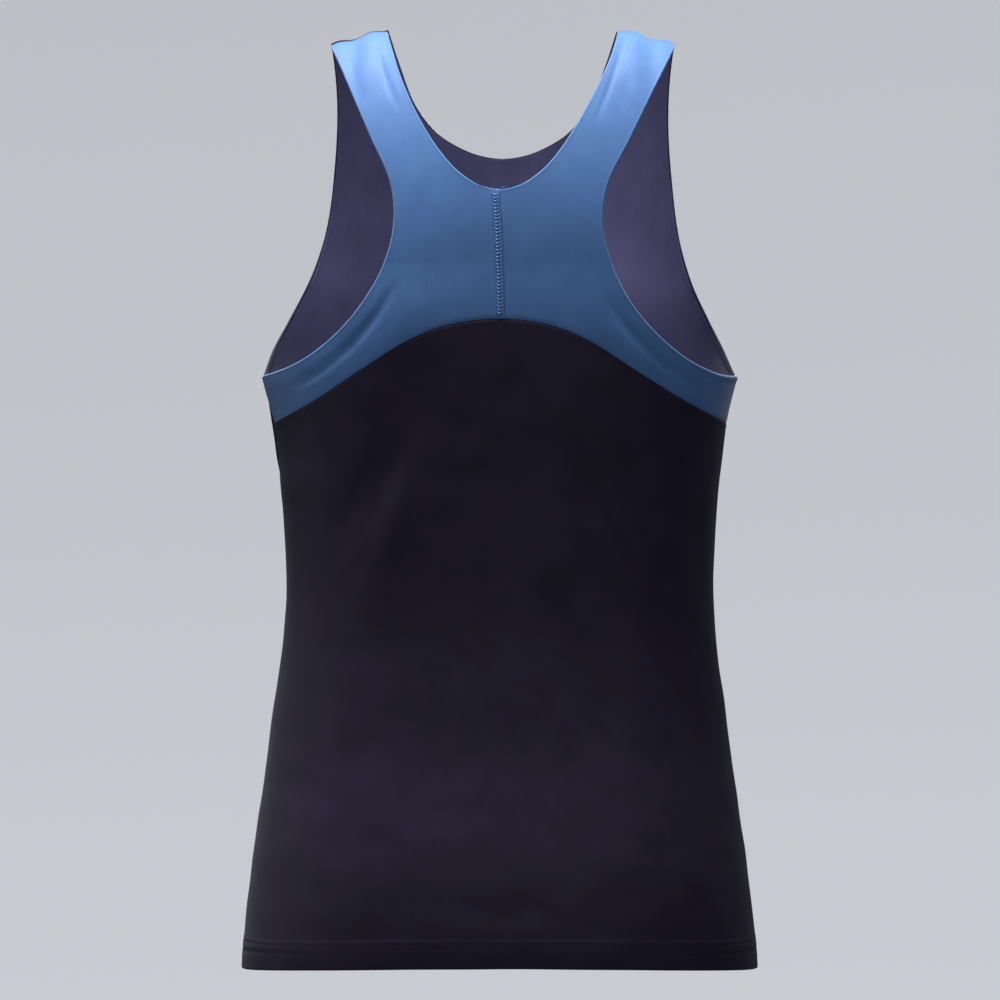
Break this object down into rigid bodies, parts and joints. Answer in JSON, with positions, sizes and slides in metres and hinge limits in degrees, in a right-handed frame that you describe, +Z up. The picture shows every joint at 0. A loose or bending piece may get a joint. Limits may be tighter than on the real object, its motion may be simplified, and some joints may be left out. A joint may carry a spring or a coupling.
{
  "type": "tank top",
  "caption": "Women's racerback sports tank top, filled out as when worn and hollow, with a contrasting back yoke and open neck, armholes and hem.",
  "frame": {"origin": "midway between the undersides of the two straps on the shoulder line, where the wearer's shoulders carry the garment", "axes": "+Z up; -Y the way the back faces and +Y the way the wearer faces; +X the wearer's right"},
  "size_m": [0.34, 0.2242, 0.6203],
  "materials": {
    "body_knit": "near-black smooth stretch knit with a soft sheen",
    "yoke_knit": "blue smooth stretch knit with a satin sheen, doubled"
  },
  "bodies": {
    "root": {"front": "body_knit", "back_lower": "body_knit", "yoke_left": "yoke_knit", "yoke_right": "yoke_knit"}
  },
  "joints": []
}
